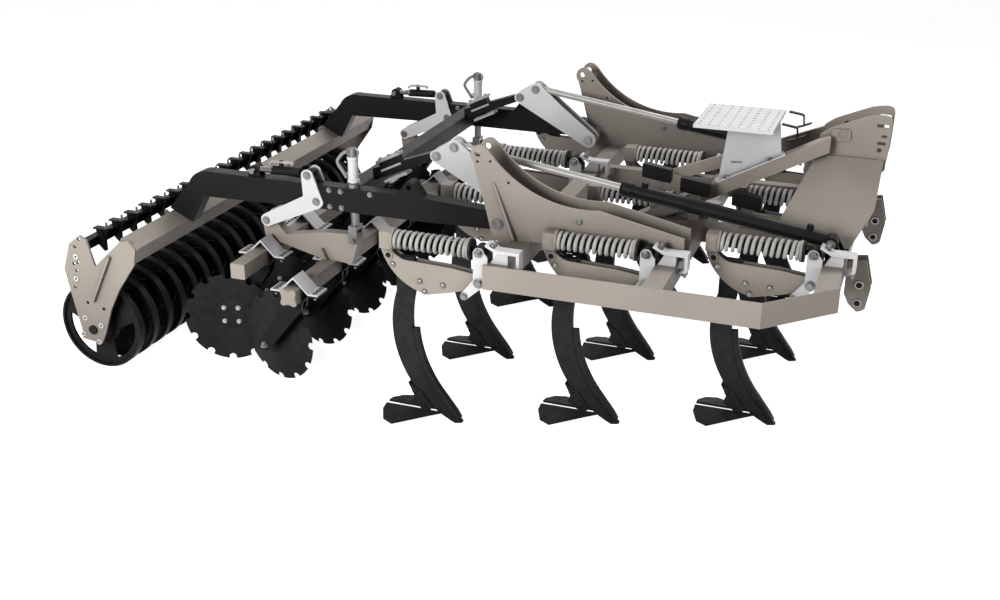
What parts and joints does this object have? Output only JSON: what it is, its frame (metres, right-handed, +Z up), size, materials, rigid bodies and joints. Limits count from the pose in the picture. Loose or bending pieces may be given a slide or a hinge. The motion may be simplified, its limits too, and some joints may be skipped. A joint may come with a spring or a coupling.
{
  "type": "mounted no-till cultivator",
  "caption": "Three-metre mounted cultivator with sprung curved tines, notched levelling discs and a ring packer roller on hydraulic lift arms.",
  "frame": {"origin": "on the floor under the middle of the machine's box", "axes": "+X forwards to the tractor, +Y the machine's left, +Z up"},
  "size_m": [4.2478, 3.0214, 1.49],
  "materials": {
    "tan_paint": "satin warm grey-beige paint",
    "white_paint": "satin white paint",
    "black_paint": "satin black paint",
    "dark_steel": "dark forged and painted steel",
    "spring_steel": "light grey coated spring wire",
    "bare_steel": "turned steel",
    "zinc": "zinc plated",
    "chrome_rod": "ground chrome"
  },
  "bodies": {
    "frame": {"cross_beam_front": "tan_paint", "cross_beam_middle": "tan_paint", "cross_beam_rear": "tan_paint", "side_plates": "tan_paint", "frame_rails": "tan_paint", "tall_plates": "tan_paint", "pivot_shafts": "bare_steel", "mast_plates": "tan_paint", "headstock_plates": "tan_paint", "hitch_plates": "tan_paint", "mast_struts": "tan_paint", "step_platform": "white_paint", "tine_brackets": "white_paint", "beam_straps": "white_paint", "tine_pins": "zinc", "tine_arms": "tan_paint", "trip_springs": "spring_steel", "spring_seats": "dark_steel", "tine_legs": "dark_steel", "share_wings": "dark_steel", "cylinder_lugs": "black_paint", "cylinder_pins": "zinc"},
    "lift": {"lift_arms": "black_paint", "cross_tube": "black_paint", "rockers": "white_paint", "rocker_pins": "zinc", "depth_struts": "black_paint", "roller_beam": "tan_paint", "roller_end_plates": "tan_paint", "scraper_comb": "black_paint", "gang_arms": "tan_paint", "disc_beam_front": "tan_paint", "disc_beam_rear": "tan_paint", "disc_stalks_front": "black_paint", "disc_stalks_rear": "black_paint", "gang_cranks": "white_paint", "gang_saddles": "white_paint", "gang_pins": "zinc", "turnbuckles": "black_paint", "gang_spindles": "zinc"},
    "barrel_left": {"cylinder_barrel_left": "black_paint"},
    "rod_left": {"cylinder_rod_left": "chrome_rod"},
    "barrel_right": {"cylinder_barrel_right": "black_paint"},
    "rod_right": {"cylinder_rod_right": "chrome_rod"},
    "roller": {"ring_roller": "dark_steel"},
    "disc_front_1": {"disc_front_1": "dark_steel"},
    "disc_front_2": {"disc_front_2": "dark_steel"},
    "disc_front_3": {"disc_front_3": "dark_steel"},
    "disc_front_4": {"disc_front_4": "dark_steel"},
    "disc_front_5": {"disc_front_5": "dark_steel"},
    "disc_front_6": {"disc_front_6": "dark_steel"},
    "disc_rear_1": {"disc_rear_1": "dark_steel"},
    "disc_rear_2": {"disc_rear_2": "dark_steel"},
    "disc_rear_3": {"disc_rear_3": "dark_steel"},
    "disc_rear_4": {"disc_rear_4": "dark_steel"},
    "disc_rear_5": {"disc_rear_5": "dark_steel"},
    "disc_rear_6": {"disc_rear_6": "dark_steel"}
  },
  "joints": [
    {"name": "lift_hinge", "type": "hinge", "parent": "frame", "child": "lift", "pos_m": [0.301, 0, 0.982], "axis": [0, 1, 0], "range_deg": [-3, 9]},
    {"name": "barrel_left_hinge", "type": "hinge", "parent": "frame", "child": "barrel_left", "pos_m": [1.916, 0.69, 0.985], "axis": [0, 1, 0], "range_deg": [-0.8, 2]},
    {"name": "rod_left_slide", "type": "slide", "parent": "barrel_left", "child": "rod_left", "axis": [-0.9897, 0, 0.1433], "range_m": [-0.045, 0.02]},
    {"name": "barrel_right_hinge", "type": "hinge", "parent": "frame", "child": "barrel_right", "pos_m": [1.916, -0.69, 0.985], "axis": [0, 1, 0], "range_deg": [-0.8, 2]},
    {"name": "rod_right_slide", "type": "slide", "parent": "barrel_right", "child": "rod_right", "axis": [-0.9897, 0, 0.1433], "range_m": [-0.045, 0.02]},
    {"name": "roller_spin", "type": "hinge", "parent": "lift", "child": "roller", "pos_m": [-1.874, 0, 0.25], "axis": [0, 1, 0], "continuous": true},
    {"name": "disc_front_1_spin", "type": "hinge", "parent": "lift", "child": "disc_front_1", "pos_m": [-0.889, -1.259, 0.264], "axis": [0.2924, 0.9563, 0], "continuous": true},
    {"name": "disc_front_2_spin", "type": "hinge", "parent": "lift", "child": "disc_front_2", "pos_m": [-0.889, -0.784, 0.264], "axis": [0.2924, 0.9563, 0], "continuous": true},
    {"name": "disc_front_3_spin", "type": "hinge", "parent": "lift", "child": "disc_front_3", "pos_m": [-0.889, -0.309, 0.264], "axis": [0.2924, 0.9563, 0], "continuous": true},
    {"name": "disc_front_4_spin", "type": "hinge", "parent": "lift", "child": "disc_front_4", "pos_m": [-0.889, 0.166, 0.264], "axis": [0.2924, 0.9563, 0], "continuous": true},
    {"name": "disc_front_5_spin", "type": "hinge", "parent": "lift", "child": "disc_front_5", "pos_m": [-0.889, 0.641, 0.264], "axis": [0.2924, 0.9563, 0], "continuous": true},
    {"name": "disc_front_6_spin", "type": "hinge", "parent": "lift", "child": "disc_front_6", "pos_m": [-0.889, 1.116, 0.264], "axis": [0.2924, 0.9563, 0], "continuous": true},
    {"name": "disc_rear_1_spin", "type": "hinge", "parent": "lift", "child": "disc_rear_1", "pos_m": [-1.229, -1.116, 0.29], "axis": [-0.2924, 0.9563, 0], "continuous": true},
    {"name": "disc_rear_2_spin", "type": "hinge", "parent": "lift", "child": "disc_rear_2", "pos_m": [-1.229, -0.641, 0.29], "axis": [-0.2924, 0.9563, 0], "continuous": true},
    {"name": "disc_rear_3_spin", "type": "hinge", "parent": "lift", "child": "disc_rear_3", "pos_m": [-1.229, -0.166, 0.29], "axis": [-0.2924, 0.9563, 0], "continuous": true},
    {"name": "disc_rear_4_spin", "type": "hinge", "parent": "lift", "child": "disc_rear_4", "pos_m": [-1.229, 0.309, 0.29], "axis": [-0.2924, 0.9563, 0], "continuous": true},
    {"name": "disc_rear_5_spin", "type": "hinge", "parent": "lift", "child": "disc_rear_5", "pos_m": [-1.229, 0.784, 0.29], "axis": [-0.2924, 0.9563, 0], "continuous": true},
    {"name": "disc_rear_6_spin", "type": "hinge", "parent": "lift", "child": "disc_rear_6", "pos_m": [-1.229, 1.259, 0.29], "axis": [-0.2924, 0.9563, 0], "continuous": true}
  ],
  "couplings": [
    {"joint": "barrel_left_hinge", "follows": "lift_hinge", "ratio": 0.1892},
    {"joint": "rod_left_slide", "follows": "lift_hinge", "m_per_rad": -0.2504},
    {"joint": "barrel_right_hinge", "follows": "lift_hinge", "ratio": 0.1892},
    {"joint": "rod_right_slide", "follows": "lift_hinge", "m_per_rad": -0.2504}
  ]
}
